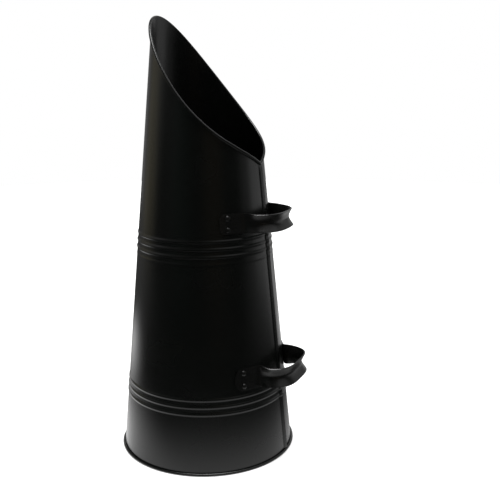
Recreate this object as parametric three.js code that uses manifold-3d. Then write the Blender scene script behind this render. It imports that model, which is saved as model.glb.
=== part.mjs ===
// A tall coal scuttle (a coal hod) of rolled sheet steel with two riveted strap handles.
// Millimetres, +Z up, standing on Z = 0. The lock seam, the low lip and both handles face +X.
//
// The body is one sheet rolled into a slightly tapered tube and closed by a folded lock seam.
// Its foot edge and its slanted mouth edge are rolled outwards round a wire.
import * as THREE from 'three';
import { mergeVertices } from 'three/addons/utils/BufferGeometryUtils.js';
import Module from 'manifold-3d';

const wasm = await Module();
wasm.setup();

// ---- Driving dimensions ---------------------------------------------------------------

const SHEET = 0.7; // body sheet thickness
const FOOT_RADIUS = 110; // outside of the rolled foot
const TAPER = 0.0955; // radius lost for each millimetre of height
const MOUTH_LOW = 358.5; // centre of the mouth wire at the seam
const MOUTH_HIGH = 527.2; // centre of the mouth wire at the back
// How far the mouth has climbed from its low to its high point, every 30 degrees from the seam
const MOUTH_CLIMB = [0, 0.116, 0.265, 0.489, 0.738, 0.93, 1];

const WIRE_RADIUS = 0.8; // wire inside both rolled edges
const WIRE_CLEARANCE = 0.3; // wire to the sheet rolled round it
const CONTACT_GAP = 0.3; // between two pieces that touch

const SEAM_WIDTH = 5.5; // folded lock seam
const SEAM_PROUD = 1.5; // how far the folds stand off the sheet
const SEAM_EDGE = 0.4; // width of the step at each side of the seam
const SEAM_END = 4; // where the folds stop short of a rolled edge
const SEAM_END_STEP = 1; // length of the step at each end of the seam

const BEAD_PITCH = 8.7; // pressed stiffening beads
const BEAD_WIDTH = 5;
const BEAD_HEIGHT = 0.8;
const LOWER_BAND = 82.4; // middle bead of the lower band
const UPPER_BAND = 266.5; // middle bead of the upper band
const RIPPLE_HEIGHT = 0.3; // shallow ripple below the upper band

const PAN_HEIGHT = 14; // top face of the bottom pan
const PAN_FLANGE = 9; // its turned-down rim
const PAN_SHEET = 0.9;

const STRAP_THICKNESS = 1.5;
const FLARE_RUN = 14; // length over which the flat end becomes the flared section
const BEND_REACH = 4; // from the corner of a bend to where it ends

const RIVET_RADIUS = 2; // shank
const RIVET_HEAD = 3.3;
const RIVET_DOME = 1.9;
const RIVET_TAIL = 2.9;
const RIVET_TAIL_HEIGHT = 1.2;
const RIVET_CLEARANCE = 0.3; // shank to its holes
const DRILL_LENGTH = 12; // passes right through wall and strap

// Each strap bows out in a rounded rectangle: reach from the wall, half its spread across, its depth
// from reach to centre, and a power of 2 for an ellipse or more for squarer corners. Its edges turn
// outwards by the flare, in radians, and each flat end carries two rivets.
const HANDLES = [
  { name: 'upper_handle', height: 294.6, width: 23, reach: 25.6, spread: 41, depth: 62, power: 3,
    flare: 0.85, tabLength: 30, endRadius: 7, rivetInset: 9.5, rivetPitch: 13.2 },
  { name: 'lower_handle', height: 111.5, width: 26, reach: 24.2, spread: 40, depth: 40, power: 3.5,
    flare: 0.9, tabLength: 34, endRadius: 11, rivetInset: 11, rivetPitch: 15.6 },
];

// ---- Fineness of the meshes -----------------------------------------------------------

const SIDES = 44; // flats round the body
const ROLL_ANGLES = [180, 145, 110, 70, 35, 0, -35, -70, -105]; // corners of a rolled edge, degrees
const WIRE_SIDES = 6;
const STRAP_STRIPS = 6; // across a strap
const BOW_STEPS = 9; // along half of a bowed strap
const TAB_STEPS = 4; // round the corner of a strap's end, and again along its flat
const BEND_STEPS = 4;
const LEAST_FLARE = 1e-3; // radians, where a strap is flat
const HALVINGS = 40; // of an angle, while it is searched for
const RIVET_SIDES = 12;
const DOME_ANGLES = [30, 60]; // corners of a rivet's dome, degrees
const TANGENT_STEP = 1e-4; // radians, to find which way the mouth's edge runs
const MERGE_DISTANCE = 1e-5; // points nearer than this are one

// ---- Sizes worked out from the driving dimensions --------------------------------------

const ROLL_RADIUS = WIRE_RADIUS + WIRE_CLEARANCE + SHEET;
const ROLL_BORE = WIRE_RADIUS + WIRE_CLEARANCE;
const FLAT_TO_AXIS = ROLL_RADIUS * Math.sin(THREE.MathUtils.degToRad(ROLL_ANGLES[2]));
const FOOT_WIRE_RING = FOOT_RADIUS - ROLL_RADIUS;
const FACET_SAG = FOOT_RADIUS * (1 - Math.cos(Math.PI / SIDES));
const SEAM_HALF = SEAM_WIDTH / 2;

const wallRadius = (z) => FOOT_WIRE_RING - ROLL_BORE - TAPER * (z - FLAT_TO_AXIS);
const radial = (angle) => new THREE.Vector3(Math.cos(angle), Math.sin(angle), 0);
const wallNormal = (angle) => new THREE.Vector3(Math.cos(angle), Math.sin(angle), TAPER).normalize();

// ---- Building closed meshes ------------------------------------------------------------

// Joins equal closed loops of points into one skin. An open row of loops is capped at both ends.
function skin(loops, closed) {
  const size = loops[0].length;
  const positions = loops.flat().flatMap((point) => point.toArray());
  const index = [];
  const last = closed ? loops.length : loops.length - 1;
  for (let i = 0; i < last; i += 1) {
    const a = i * size;
    const b = ((i + 1) % loops.length) * size;
    for (let j = 0; j < size; j += 1) {
      const k = (j + 1) % size;
      index.push(a + j, b + j, b + k, a + j, b + k, a + k);
    }
  }
  if (!closed) {
    const end = (loops.length - 1) * size;
    for (let j = 0; j < size / 2 - 1; j += 1) {
      const [p, q, r, s] = [j, j + 1, size - 2 - j, size - 1 - j];
      index.push(p, q, r, p, r, s);
      index.push(end + p, end + r, end + q, end + p, end + s, end + r);
    }
  }
  const geometry = new THREE.BufferGeometry();
  geometry.setAttribute('position', new THREE.Float32BufferAttribute(positions, 3));
  geometry.setIndex(index);
  return geometry;
}

function toSolid(geometry) {
  const bare = geometry.clone();
  bare.deleteAttribute('normal');
  bare.deleteAttribute('uv');
  const merged = mergeVertices(bare, MERGE_DISTANCE);
  const vertProperties = new Float32Array(merged.attributes.position.array);
  const triVerts = new Uint32Array(merged.index.array);
  return new wasm.Manifold(new wasm.Mesh({ numProp: 3, vertProperties, triVerts }));
}

function toGeometry(solid) {
  const mesh = solid.getMesh();
  const geometry = new THREE.BufferGeometry();
  geometry.setAttribute('position', new THREE.BufferAttribute(mesh.vertProperties, 3));
  geometry.setIndex(new THREE.BufferAttribute(mesh.triVerts, 1));
  geometry.computeVertexNormals();
  return geometry;
}

// ---- Body shell ------------------------------------------------------------------------

// Height of the mouth wire's centre at an angle from the seam, on a smooth curve through MOUTH_CLIMB.
// The curve meets its mirror image in a V at the seam and is level at the back.
function mouthHeight(angle) {
  const steps = MOUTH_CLIMB.length - 1;
  const turn = Math.abs(Math.atan2(Math.sin(angle), Math.cos(angle)));
  const place = (turn / Math.PI) * steps;
  const i = Math.min(Math.floor(place), steps - 1);
  const t = place - i;
  const slopeAt = (k) => {
    if (k === 0) return MOUTH_CLIMB[1] - MOUTH_CLIMB[0];
    if (k === steps) return 0;
    return (MOUTH_CLIMB[k + 1] - MOUTH_CLIMB[k - 1]) / 2;
  };
  const rise = (2 * t ** 3 - 3 * t ** 2 + 1) * MOUTH_CLIMB[i] + (t ** 3 - 2 * t ** 2 + t) * slopeAt(i)
    + (3 * t ** 2 - 2 * t ** 3) * MOUTH_CLIMB[i + 1] + (t ** 3 - t ** 2) * slopeAt(i + 1);
  return MOUTH_LOW + (MOUTH_HIGH - MOUTH_LOW) * rise;
}

// A column is one upright line of points round the body. Columns beside the seam keep a distance
// in millimetres from its middle, and the others an angle.
const columns = [];
for (const side of [0, SEAM_HALF, SEAM_HALF + SEAM_EDGE]) {
  columns.push({ turn: 0, side, raised: side <= SEAM_HALF });
}
for (let i = 1; i < SIDES; i += 1) {
  columns.push({ turn: (2 * Math.PI * i) / SIDES, side: 0, raised: false });
}
for (const side of [SEAM_HALF + SEAM_EDGE, SEAM_HALF]) {
  columns.push({ turn: 2 * Math.PI, side: -side, raised: side <= SEAM_HALF });
}
const angleOf = (column, radius) => column.turn + column.side / radius;

// The wall's rows from the foot up: height (or drop below the mouth), bead height, seam or not
const rows = [
  { z: SEAM_END, swell: 0, folds: false },
  { z: SEAM_END + SEAM_END_STEP, swell: 0, folds: true },
];

// Adds a band of beads, given by their heights from the lowest up. The last but one is its middle bead.
function addBand(middle, heights) {
  heights.forEach((swell, i) => {
    const crest = middle + (i - (heights.length - 2)) * BEAD_PITCH;
    rows.push({ z: crest - BEAD_WIDTH / 2, swell: 0, folds: true });
    rows.push({ z: crest, swell, folds: true });
    rows.push({ z: crest + BEAD_WIDTH / 2, swell: 0, folds: true });
  });
}
addBand(LOWER_BAND, [BEAD_HEIGHT, BEAD_HEIGHT, BEAD_HEIGHT]);
addBand(UPPER_BAND, [RIPPLE_HEIGHT, BEAD_HEIGHT, BEAD_HEIGHT, BEAD_HEIGHT]);
rows.push({ drop: SEAM_END + SEAM_END_STEP, swell: 0, folds: true });
rows.push({ drop: SEAM_END, swell: 0, folds: false });

function wallPoint(column, row, inner) {
  const near = wallRadius(UPPER_BAND);
  const z = row.z ?? mouthHeight(angleOf(column, near)) - row.drop;
  const proud = row.folds && column.raised && !inner ? SEAM_PROUD : 0;
  const radius = wallRadius(z) + row.swell + proud - (inner ? SHEET : 0);
  return radial(angleOf(column, wallRadius(z))).multiplyScalar(radius).setZ(z);
}

// Where the foot wire runs, with the directions out of the wall and off the sheet's edge
function footFrame(column) {
  const out = radial(angleOf(column, FOOT_WIRE_RING));
  const centre = out.clone().multiplyScalar(FOOT_WIRE_RING).setZ(FLAT_TO_AXIS);
  return { centre, out, off: new THREE.Vector3(0, 0, -1) };
}

// The same for the mouth wire. At the seam both halves of the roll meet in a mitre.
function mouthFrame(column) {
  const linePoint = (angle) => {
    const z = mouthHeight(angle);
    return radial(angle).multiplyScalar(wallRadius(z) - SHEET).setZ(z)
      .addScaledVector(wallNormal(angle), ROLL_RADIUS);
  };
  const angle = angleOf(column, wallRadius(mouthHeight(column.turn)));
  const mitred = column.turn === 0 && column.side === 0;
  const behind = linePoint(mitred ? angle : angle - TANGENT_STEP);
  const ahead = linePoint(angle + TANGENT_STEP).sub(behind).normalize();
  const along = mitred ? new THREE.Vector3(0, 1, 0) : ahead;
  const out = wallNormal(angle);
  const off = out.clone().cross(along).normalize().divideScalar(mitred ? ahead.dot(along) : 1);
  return { centre: linePoint(angle), out, off };
}

function rollPoints(frame, radius, backwards) {
  const angles = backwards ? [...ROLL_ANGLES].reverse() : ROLL_ANGLES;
  return angles.map((degrees) => {
    const angle = THREE.MathUtils.degToRad(degrees);
    return frame.centre.clone()
      .addScaledVector(frame.out, radius * Math.cos(angle))
      .addScaledVector(frame.off, radius * Math.sin(angle));
  });
}

// One upright section through the sheet: up its outer face from the foot roll, and down its inner face
function bodySection(column) {
  const foot = footFrame(column);
  const mouth = mouthFrame(column);
  return [
    ...rollPoints(foot, ROLL_BORE, true),
    ...rows.map((row) => wallPoint(column, row, false)),
    ...rollPoints(mouth, ROLL_BORE, false),
    ...rollPoints(mouth, ROLL_RADIUS, true),
    ...[...rows].reverse().map((row) => wallPoint(column, row, true)),
    ...rollPoints(foot, ROLL_RADIUS, false),
  ];
}

// ---- Wires and bottom pan ---------------------------------------------------------------

// A wire bent round from one side of the seam to the other, with two butt ends
function wireGeometry(frameOf) {
  const bent = columns.filter((column) => column.side !== 0 || column.turn > 0);
  return skin(bent.map((column) => {
    const { centre, out, off } = frameOf(column);
    const upwards = off.clone().multiplyScalar(Math.sign(off.z));
    return Array.from({ length: WIRE_SIDES }, (_, i) => {
      const angle = (2 * Math.PI * (i + 0.5)) / WIRE_SIDES;
      return centre.clone()
        .addScaledVector(out, WIRE_RADIUS * Math.cos(angle))
        .addScaledVector(upwards, WIRE_RADIUS * Math.sin(angle));
    });
  }), false);
}

// A pressed disc whose turned-down rim follows the taper of the wall
function panGeometry() {
  const seat = (z) => wallRadius(z) - SHEET - CONTACT_GAP;
  const floor = PAN_HEIGHT - PAN_FLANGE;
  const profile = [
    [0, PAN_HEIGHT], [seat(PAN_HEIGHT) - PAN_SHEET, PAN_HEIGHT],
    [seat(PAN_HEIGHT - PAN_SHEET), PAN_HEIGHT - PAN_SHEET], [seat(floor), floor],
    [seat(floor) - PAN_SHEET, floor], [seat(PAN_HEIGHT) - 2 * PAN_SHEET, PAN_HEIGHT - PAN_SHEET],
    [0, PAN_HEIGHT - PAN_SHEET],
  ];
  const points = profile.reverse().map(([radius, z]) => new THREE.Vector2(radius, z));
  return new THREE.LatheGeometry(points, SIDES).rotateX(Math.PI / 2);
}

// ---- Handles ----------------------------------------------------------------------------

// Plan of one strap's middle line at its mid height: half of it, from the flat end to the seam.
// Each station has its place, how far round the bend it has come, and the strap's half width there.
function halfPlan(handle) {
  const seatRadius = wallRadius(handle.height) + CONTACT_GAP + STRAP_THICKNESS / 2;
  const bowCentre = wallRadius(handle.height) + handle.reach - handle.depth;
  const bowPoint = (turn) => {
    const across = Math.abs(Math.sin(turn)) / handle.spread;
    const outward = Math.abs(Math.cos(turn)) / handle.depth;
    const size = (across ** handle.power + outward ** handle.power) ** (-1 / handle.power);
    return new THREE.Vector2(bowCentre + size * Math.cos(turn), -size * Math.sin(turn));
  };
  // The turn at which the bow is a given distance from the body's axis, by halving
  const turnAt = (distance) => {
    let [low, high] = [0, Math.PI / 2];
    for (let i = 0; i < HALVINGS; i += 1) {
      const middle = (low + high) / 2;
      if (bowPoint(middle).length() > distance) low = middle;
      else high = middle;
    }
    return low;
  };
  const corner = bowPoint(turnAt(seatRadius));
  const cornerAngle = corner.angle() - 2 * Math.PI;
  const onSeat = (fromCorner) => {
    const angle = cornerAngle - fromCorner / seatRadius;
    return new THREE.Vector2(Math.cos(angle), Math.sin(angle)).multiplyScalar(seatRadius);
  };
  const half = handle.width / 2;
  const round = handle.endRadius;
  const stations = [];
  for (let i = 0; i < TAB_STEPS; i += 1) {
    const swing = (i / TAB_STEPS) * (Math.PI / 2);
    const fromEnd = round * (1 - Math.cos(swing));
    stations.push({
      place: onSeat(handle.tabLength - fromEnd), half: half - round + round * Math.sin(swing),
    });
  }
  for (let i = 0; i < TAB_STEPS; i += 1) {
    const share = i / TAB_STEPS;
    const fromCorner = (handle.tabLength - round) * (1 - share) + BEND_REACH * share;
    stations.push({ place: onSeat(fromCorner), half });
  }
  const firstTurn = turnAt(seatRadius + BEND_REACH);
  const bend = new THREE.QuadraticBezierCurve(onSeat(BEND_REACH), corner, bowPoint(firstTurn));
  for (const place of bend.getPoints(BEND_STEPS)) stations.push({ place, half });
  for (let i = 1; i <= BOW_STEPS; i += 1) {
    stations.push({ place: bowPoint(firstTurn * (1 - i / BOW_STEPS)), half });
  }
  for (const station of stations) {
    station.pastCorner = Math.max(0, station.place.length() - seatRadius);
  }
  return stations;
}

function handleGeometry(handle) {
  const near = halfPlan(handle);
  const mirrored = near.slice(0, -1).reverse().map((station) => (
    { ...station, place: new THREE.Vector2(station.place.x, -station.place.y) }));
  const stations = [...near, ...mirrored];
  const loops = stations.map((station, i) => {
    const before = stations[Math.max(i - 1, 0)].place;
    const after = stations[Math.min(i + 1, stations.length - 1)].place;
    const along = after.clone().sub(before).normalize();
    const out = new THREE.Vector3(along.y, -along.x, 0);
    const inwards = new THREE.Vector3(-station.place.x, -station.place.y, 0).normalize();
    const bent = THREE.MathUtils.smoothstep(station.pastCorner, 0, FLARE_RUN);
    const spread = Math.max(handle.flare * bent, LEAST_FLARE);
    const curve = station.half / spread; // radius of the strap's hollow section
    const sectionPoint = (share, lift) => {
      const angle = share * spread;
      const rise = curve * Math.sin(angle) - lift * Math.sin(angle);
      const hollow = curve * (1 - Math.cos(angle)) + lift * Math.cos(angle);
      return new THREE.Vector3(station.place.x, station.place.y, handle.height + rise)
        .addScaledVector(out, hollow)
        .addScaledVector(inwards, TAPER * rise);
    };
    const shares = Array.from({ length: STRAP_STRIPS + 1 }, (_, k) => (2 * k) / STRAP_STRIPS - 1);
    return [
      ...shares.map((share) => sectionPoint(share, STRAP_THICKNESS / 2)),
      ...shares.reverse().map((share) => sectionPoint(share, -STRAP_THICKNESS / 2)),
    ];
  });
  return skin(loops, false);
}

// ---- Rivets -----------------------------------------------------------------------------

// Where each rivet meets the wall's outer face, two at each end of each strap
function rivetPlaces(handle) {
  const plan = halfPlan(handle);
  const tabEnd = plan[0].place;
  const endAngle = Math.atan2(tabEnd.y, tabEnd.x);
  const inset = handle.rivetInset / wallRadius(handle.height);
  const places = [];
  for (const side of [1, -1]) {
    for (const lift of [1, -1]) {
      const z = handle.height + (lift * handle.rivetPitch) / 2;
      const angle = side * (endAngle + inset);
      places.push({ point: radial(angle).multiplyScalar(wallRadius(z)).setZ(z), axis: wallNormal(angle) });
    }
  }
  return places;
}

// Turned about its own Y axis, with Y = 0 at the wall's outer face and the dome towards +Y
function rivetGeometry() {
  const headSeat = CONTACT_GAP + STRAP_THICKNESS + CONTACT_GAP;
  const tailSeat = -(SHEET + FACET_SAG + CONTACT_GAP);
  const points = [
    new THREE.Vector2(0, tailSeat - RIVET_TAIL_HEIGHT),
    new THREE.Vector2(RIVET_TAIL, tailSeat - RIVET_TAIL_HEIGHT),
    new THREE.Vector2(RIVET_TAIL, tailSeat),
    new THREE.Vector2(RIVET_RADIUS, tailSeat),
    new THREE.Vector2(RIVET_RADIUS, headSeat),
    new THREE.Vector2(RIVET_HEAD, headSeat),
  ];
  for (const degrees of DOME_ANGLES) {
    const angle = THREE.MathUtils.degToRad(degrees);
    points.push(new THREE.Vector2(RIVET_HEAD * Math.cos(angle), headSeat + RIVET_DOME * Math.sin(angle)));
  }
  points.push(new THREE.Vector2(0, headSeat + RIVET_DOME));
  return new THREE.LatheGeometry(points, RIVET_SIDES);
}

const UP = new THREE.Vector3(0, 1, 0);

function drillRivetHoles(geometry, places) {
  const holeRadius = RIVET_RADIUS + RIVET_CLEARANCE;
  let solid = toSolid(geometry);
  for (const { point, axis } of places) {
    const drill = new THREE.CylinderGeometry(holeRadius, holeRadius, DRILL_LENGTH, RIVET_SIDES);
    drill.applyQuaternion(new THREE.Quaternion().setFromUnitVectors(UP, axis));
    drill.translate(point.x, point.y, point.z);
    solid = solid.subtract(toSolid(drill));
  }
  return toGeometry(solid);
}

// ---- Materials and assembly -------------------------------------------------------------

const blackPaint = new THREE.MeshStandardMaterial({ color: 0x1b1b1a, roughness: 0.42, metalness: 0.1 });
const innerPaint = new THREE.MeshStandardMaterial({ color: 0x161616, roughness: 0.55, metalness: 0.1 });
const bareWire = new THREE.MeshStandardMaterial({ color: 0x6b6b69, roughness: 0.4, metalness: 0.9 });

const scuttle = new THREE.Group();

function addPiece(name, geometry, material) {
  const mesh = new THREE.Mesh(geometry, material);
  mesh.name = name;
  scuttle.add(mesh);
  return mesh;
}

const allRivets = HANDLES.flatMap(rivetPlaces);
addPiece('body_shell', drillRivetHoles(skin(columns.map(bodySection), true), allRivets), blackPaint);
addPiece('base_pan', panGeometry(), innerPaint);
addPiece('mouth_wire', wireGeometry(mouthFrame), bareWire);
addPiece('foot_wire', wireGeometry(footFrame), bareWire);

for (const handle of HANDLES) {
  const places = rivetPlaces(handle);
  addPiece(handle.name, drillRivetHoles(handleGeometry(handle), places), blackPaint);
  places.forEach(({ point, axis }, i) => {
    const rivet = addPiece(`${handle.name}_rivet_${i + 1}`, rivetGeometry(), blackPaint);
    rivet.position.copy(point);
    rivet.quaternion.setFromUnitVectors(UP, axis);
  });
}

// The handles reach past the foot on +X, so the body's axis stands a little behind the origin
const bounds = new THREE.Box3().setFromObject(scuttle, true);
scuttle.position.x = -(bounds.min.x + bounds.max.x) / 2;

export default scuttle;
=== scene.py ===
# %% [markdown]
# # A tall coal scuttle
# A coal scuttle, or hod, is carried by two strap handles and tipped over its low lip. This one is a
# sheet of steel rolled into a tapered tube, closed by a folded lock seam, with a wire rolled into
# its foot edge and its slanted mouth edge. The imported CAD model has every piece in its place. This
# script builds finer meshes over it and gives each piece its finish.

# %% Load the CAD frame
import math

import bmesh
import bpy
from mathutils import Matrix, Vector


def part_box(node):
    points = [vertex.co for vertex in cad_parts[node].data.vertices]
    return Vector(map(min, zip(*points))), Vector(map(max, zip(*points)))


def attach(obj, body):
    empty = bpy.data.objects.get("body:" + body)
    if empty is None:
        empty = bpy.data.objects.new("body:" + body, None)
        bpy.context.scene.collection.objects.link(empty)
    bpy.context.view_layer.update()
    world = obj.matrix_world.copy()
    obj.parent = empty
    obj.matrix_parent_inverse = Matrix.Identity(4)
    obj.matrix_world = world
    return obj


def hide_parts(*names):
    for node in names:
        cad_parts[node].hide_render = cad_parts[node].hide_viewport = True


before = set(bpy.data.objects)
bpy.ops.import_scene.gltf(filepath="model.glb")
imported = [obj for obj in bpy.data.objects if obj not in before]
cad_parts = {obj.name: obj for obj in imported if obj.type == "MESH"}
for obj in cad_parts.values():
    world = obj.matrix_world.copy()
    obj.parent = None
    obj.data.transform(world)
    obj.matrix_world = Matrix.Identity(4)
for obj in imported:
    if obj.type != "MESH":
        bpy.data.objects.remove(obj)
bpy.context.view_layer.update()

# %% [markdown]
# ## Sizes
# All sizes are millimetres, as a sheet metal worker would mark them out, and the same as in the CAD
# model. The body's axis stands a little behind the frame's origin because the handles reach out on
# +X, so the axis is read from the CAD body instead of being typed in again.

# %% Sizes of the sheet metal
MM = 0.001
SHEET = 0.7
FOOT_RADIUS = 110.0
TAPER = 0.0955
MOUTH_LOW = 358.5
MOUTH_HIGH = 527.2
WIRE_RADIUS = 0.8
WIRE_CLEARANCE = 0.3
GAP = 0.3
ROLL_BORE = WIRE_RADIUS + WIRE_CLEARANCE
ROLL_RADIUS = ROLL_BORE + SHEET
FOOT_RING = FOOT_RADIUS - ROLL_RADIUS
FOOT_WIRE_Z = ROLL_RADIUS * math.sin(math.radians(110))

body_low, body_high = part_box("body_shell")
AXIS = Vector(((body_low[0] + body_high[0]) / 2, 0, 0))


def wall_radius(z):
    return FOOT_RING - ROLL_BORE - TAPER * (z - FOOT_WIRE_Z)


print("axis x %.2f mm, wall radius at the foot %.1f mm" % (AXIS.x / MM, wall_radius(0)))

# %% [markdown]
# ## Helpers for node trees
# Geometry Nodes and materials are both node trees, so one small function serves both: it adds a
# node, sets its options and fills its inputs. An input is keyed by its label, or by its number where
# labels repeat, and may be a plain value, or another node or socket to link from. Colours are written
# as sRGB hex values, the numbers a paint picker shows, and one function turns them into the linear
# values that the renderer works in. A tree that draws a piece always ends in the same way: copies
# become real and the material is set.

# %% Node and colour helpers
MATH = "ShaderNodeMath"
VECTOR = "ShaderNodeVectorMath"
MAP = "ShaderNodeMapRange"
GEOMETRY = {"Geometry": "NodeSocketGeometry"}


def add_node(tree, kind, inputs=None, **settings):
    node = tree.nodes.new(kind)
    for name, value in settings.items():
        setattr(node, name, value)
    for key, value in (inputs or {}).items():
        if isinstance(value, bpy.types.Node):
            value = next(s for s in value.outputs if s.enabled)
        if isinstance(value, bpy.types.NodeSocket):
            tree.links.new(value, node.inputs[key])
        else:
            node.inputs[key].default_value = value
    return node


def linear(hex_colour):
    channels = [int(hex_colour[i:i + 2], 16) / 255 for i in (1, 3, 5)]
    return [c / 12.92 if c <= 0.04045 else ((c + 0.055) / 1.055) ** 2.4 for c in channels] + [1]


def new_tree(name, sizes, takes=None, gives=GEOMETRY):
    tree = bpy.data.node_groups.new(name, "GeometryNodeTree")
    for label, kind in (takes or {}).items():
        tree.interface.new_socket(label, in_out="INPUT", socket_type=kind)
    for label, value in sizes.items():
        socket = tree.interface.new_socket(label, in_out="INPUT", socket_type="NodeSocketFloat")
        socket.default_value = value
    for label, kind in gives.items():
        tree.interface.new_socket(label, in_out="OUTPUT", socket_type=kind)
    return tree


def end_tree(tree, geometry, material):
    real = add_node(tree, "GeometryNodeRealizeInstances", {"Geometry": geometry})
    painted = add_node(tree, "GeometryNodeSetMaterial", {"Geometry": real, "Material": material})
    add_node(tree, "NodeGroupOutput", {"Geometry": painted})
    print(tree.name, "tree:", len(tree.nodes), "nodes")


print("mid grey #808080 is", round(linear("#808080")[0], 3), "in linear light")

# %% [markdown]
# ## From node tree to plain mesh
# A tree is run once as a modifier on a carrier object, whose inputs are set by socket identifier.
# Its result is then baked to a plain mesh. On the way, points that coincide can be merged, a sheet
# can be given its thickness, and its raw edges can be rounded. Edges that turn by more than
# SHARP_ABOVE are marked, so that smooth shading stops there. What is left has no modifier and sits at
# the origin, as a CAD node does.

# %% Running a tree and baking its result
SHARP_ABOVE = math.radians(35)
ROUND_ABOVE = math.radians(60)
ROUND_SEGMENTS = 3


def add_object(name, data):
    thing = bpy.data.objects.new(name, data)
    bpy.context.collection.objects.link(thing)
    return thing


def run_tree(name, tree, values, carrier_data=None):
    carrier = add_object(name, carrier_data or bpy.data.meshes.new(name))
    modifier = carrier.modifiers.new(name, "NODES")
    modifier.node_group = tree
    for socket in tree.interface.items_tree:
        if socket.in_out == "INPUT" and socket.name in values:
            modifier[socket.identifier] = values[socket.name]
    return carrier


def flatten(carrier):
    shown = carrier.evaluated_get(bpy.context.evaluated_depsgraph_get())
    mesh = bpy.data.meshes.new_from_object(shown)
    carrier.modifiers.clear()
    carrier.data = mesh


def weld(carrier, distance):
    flatten(carrier)
    shape = bmesh.new()
    shape.from_mesh(carrier.data)
    bmesh.ops.remove_doubles(shape, verts=shape.verts, dist=distance)
    shape.to_mesh(carrier.data)
    shape.free()


def shade(mesh):
    mesh.shade_smooth()
    mesh.set_sharp_from_angle(angle=SHARP_ABOVE)


def bake(carrier, merge=None, thickness=None, offset=0.0, bevel=None):
    if merge:
        weld(carrier, merge)
    if thickness:
        solidify = carrier.modifiers.new("thickness", "SOLIDIFY")
        solidify.thickness = thickness
        solidify.offset = offset
        solidify.use_even_offset = True
    if bevel:
        rounding = carrier.modifiers.new("rounding", "BEVEL")
        rounding.width = bevel
        rounding.segments = ROUND_SEGMENTS
        rounding.limit_method = "ANGLE"
        rounding.angle_limit = ROUND_ABOVE
    flatten(carrier)
    mesh = carrier.data
    shade(mesh)
    print(carrier.name, len(mesh.vertices), "points,", len(mesh.polygons), "faces")
    return carrier


print("helpers ready")

# %% [markdown]
# ## The finishes
# The scuttle is finished in satin black enamel: a hard paint sprayed on pressed and folded steel and
# stoved. It is nearly black, with a soft sheen, and close up its surface is faintly dimpled, like
# orange peel, because the wet paint draws up a little as it dries. The sheen wanders slowly over a
# large panel where the coat is thicker or thinner. Two noise patterns give those two effects: one
# about 2.5 mm across for the dimples and one about 70 mm across for the sheen. Paint is not metal to
# the light, so metallic stays at 0 and its IOR is the 1.5 of a clear resin.

# %% Satin black enamel
# The scales of the noises are patterns in a metre
DRIFT_SCALE = 14.0
PEEL_SCALE = 400.0
PEEL_STRENGTH = 0.12
PEEL_DEPTH = 0.02 * MM
SHEEN_DRIFT = 0.05
RESIN_IOR = 1.5


def enamel(name, thick_coat, thin_coat, sheen):
    material = bpy.data.materials.new(name)
    material.use_nodes = True
    tree = material.node_tree
    shader = tree.nodes["Principled BSDF"]
    place = add_node(tree, "ShaderNodeTexCoord").outputs["Object"]
    drift = add_node(tree, "ShaderNodeTexNoise", {"Vector": place, "Scale": DRIFT_SCALE,
                                                   "Detail": 3.0})
    colour = add_node(tree, "ShaderNodeMix", {"Factor": drift, 6: linear(thick_coat),
                                              7: linear(thin_coat)}, data_type="RGBA")
    gloss = add_node(tree, MAP, {"Value": drift, 3: sheen - SHEEN_DRIFT,
                                  4: sheen + SHEEN_DRIFT})
    peel = add_node(tree, "ShaderNodeTexNoise", {"Vector": place, "Scale": PEEL_SCALE,
                                                  "Detail": 2.0})
    dimples = add_node(tree, "ShaderNodeBump", {"Height": peel, "Strength": PEEL_STRENGTH,
                                                "Distance": PEEL_DEPTH})
    tree.links.new(colour.outputs[2], shader.inputs["Base Color"])
    tree.links.new(gloss.outputs[0], shader.inputs["Roughness"])
    tree.links.new(dimples.outputs[0], shader.inputs["Normal"])
    shader.inputs["IOR"].default_value = RESIN_IOR
    return material


body_enamel = enamel("satin_black_enamel", "#070908", "#090b09", 0.26)
strap_enamel = enamel("satin_black_enamel_straps", "#0a0b0a", "#0e0e0d", 0.26)
pan_enamel = enamel("dull_black_enamel_inside", "#080808", "#0b0b0a", 0.5)
print("enamels:", body_enamel.name, strap_enamel.name, pan_enamel.name)

# %% [markdown]
# The wires inside the rolled edges are drawn steel, grey and plain, and hardly seen. The die that a
# wire is drawn through leaves it finely marked, so a fine noise varies its grey and its roughness.

# %% Drawn steel wire
MARK_SCALE = 1500.0
WIRE_ROUGHNESS = (0.3, 0.5)
wire_steel = bpy.data.materials.new("drawn_steel_wire")
wire_steel.use_nodes = True
tree = wire_steel.node_tree
shader = tree.nodes["Principled BSDF"]
place = add_node(tree, "ShaderNodeTexCoord").outputs["Object"]
marks = add_node(tree, "ShaderNodeTexNoise", {"Vector": place, "Scale": MARK_SCALE, "Detail": 1.0})
grey = add_node(tree, "ShaderNodeMix", {"Factor": marks, 6: linear("#6e6e6b"), 7: linear("#8b8b87")},
                data_type="RGBA")
worn = add_node(tree, MAP, {"Value": marks, 3: WIRE_ROUGHNESS[0], 4: WIRE_ROUGHNESS[1]})
tree.links.new(grey.outputs[2], shader.inputs["Base Color"])
tree.links.new(worn.outputs[0], shader.inputs["Roughness"])
shader.inputs["Metallic"].default_value = 1.0
for node in ("mouth_wire", "foot_wire"):
    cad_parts[node].data.materials.clear()
    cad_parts[node].data.materials.append(wire_steel)
print("wires finished in", wire_steel.name)

# %% [markdown]
# ## The mouth line
# The mouth is cut so that the sheet's two ends meet low at the seam, in a shallow V, and the edge
# climbs to a tall level back. Its height at an angle from the seam is a short polynomial in
# s = |sin(angle / 2)|, which rises straight from the V at s = 0 and is level at the back at s = 1.
# The tree below turns an angle into the centre of the edge roll there. It is a group of its own,
# because the body needs it three times: at a column, just before it and just after it.

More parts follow.
